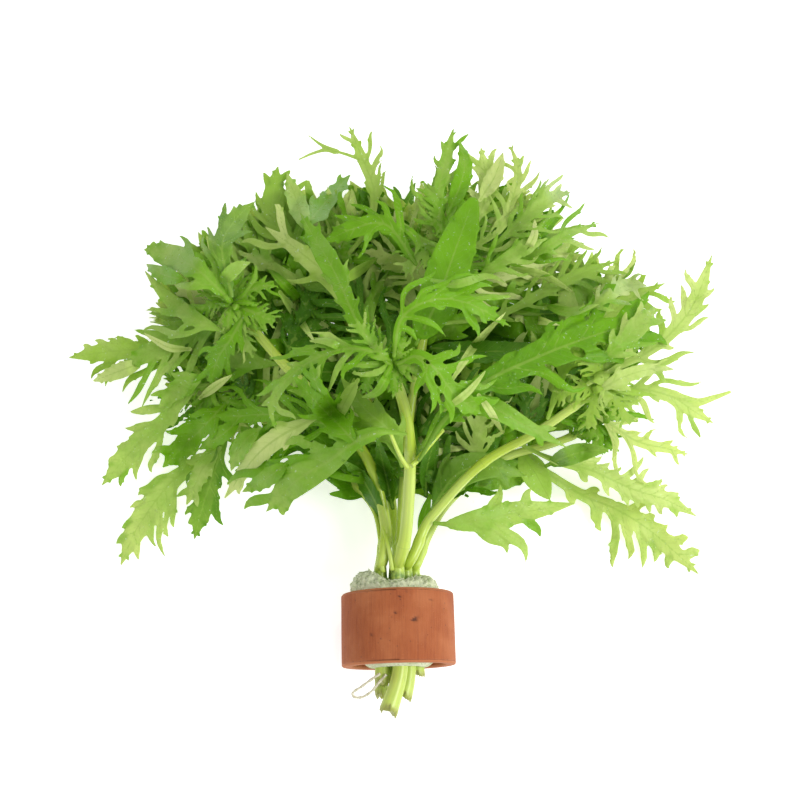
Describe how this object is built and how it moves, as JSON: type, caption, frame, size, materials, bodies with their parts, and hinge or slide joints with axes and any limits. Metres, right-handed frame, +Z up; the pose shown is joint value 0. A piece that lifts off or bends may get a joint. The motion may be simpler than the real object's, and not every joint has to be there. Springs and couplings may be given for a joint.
{
  "type": "water wisteria bunch",
  "caption": "Cut bunch of water wisteria with lacy, feather-cut leaves, its stems wrapped in foam and held in a short clay ring, lying on its side.",
  "frame": {"origin": "middle of the bounding box's underside, on the surface that the bunch lies on", "axes": "+Z up; +Y from the cut stem ends towards the leaves, along the ring's axis to within 1.5 degrees; +X to the right seen from above"},
  "size_m": [0.169, 0.1527, 0.0597],
  "materials": {
    "leaf_bright": "satin",
    "leaf_deep": "satin",
    "leaf_pale": "satin",
    "stem_green": "satin",
    "fired_clay": "matte",
    "foam": "matte",
    "thread": "matte"
  },
  "bodies": {
    "root": {"clay_ring": "fired_clay", "foam_wrap": "foam", "thread_loop": "thread", "stem_back_left": "stem_green", "stem_lower_left": "stem_green", "stem_lower_right": "stem_green", "stem_back_top": "stem_green", "stem_left": "stem_green", "stem_right": "stem_green", "stem_centre": "stem_green", "tuft_back_left": "leaf_bright", "tuft_lower_left": "leaf_bright", "tuft_lower_right": "leaf_bright", "tuft_back_top": "leaf_bright", "tuft_left": "leaf_bright", "tuft_right": "leaf_bright", "tuft_centre": "leaf_bright", "leaf_ground_left": "leaf_deep", "leaf_ground_right": "leaf_deep", "leaf_ground_top": "leaf_deep", "leaf_ground_top_right": "leaf_deep", "leaf_lower_left": "leaf_bright", "leaf_lower_right": "leaf_bright", "leaf_left_hanging": "leaf_deep", "leaf_left_slit": "leaf_bright", "leaf_right_pale": "leaf_pale", "leaf_right_lacy": "leaf_bright", "leaf_right_tip": "leaf_bright", "leaf_far_left": "leaf_pale", "leaf_left_green": "leaf_bright", "leaf_top_antenna": "leaf_pale", "leaf_top_left_fold": "leaf_deep", "leaf_back_middle": "leaf_deep", "leaf_dark_broad": "leaf_deep", "leaf_right_needles": "leaf_deep", "leaf_upper_left_outer": "leaf_bright", "leaf_left_folded": "leaf_pale", "leaf_upper_left_curled": "leaf_deep", "leaf_top_spike": "leaf_bright", "leaf_top_pale": "leaf_pale", "leaf_top_right_lacy": "leaf_bright", "leaf_upper_right_comb": "leaf_bright", "leaf_upper_right_pinnate": "leaf_bright", "leaf_right_outer": "leaf_pale", "leaf_left_fingers": "leaf_bright", "leaf_left_drooping": "leaf_bright", "leaf_cream": "leaf_pale", "leaf_underside_up": "leaf_pale", "leaf_top_inner": "leaf_bright", "leaf_by_stem": "leaf_bright", "leaf_far_right_upturned": "leaf_pale", "leaf_right_band": "leaf_bright", "leaf_left_inner": "leaf_pale", "leaf_long_bright": "leaf_bright", "leaf_broad_entire": "leaf_bright", "leaf_great_right": "leaf_bright", "leaf_great_drooping": "leaf_bright", "leaf_left_top_fingers": "leaf_bright", "leaf_centre_lacy": "leaf_bright", "leaf_centre_arch": "leaf_bright"}
  },
  "joints": []
}
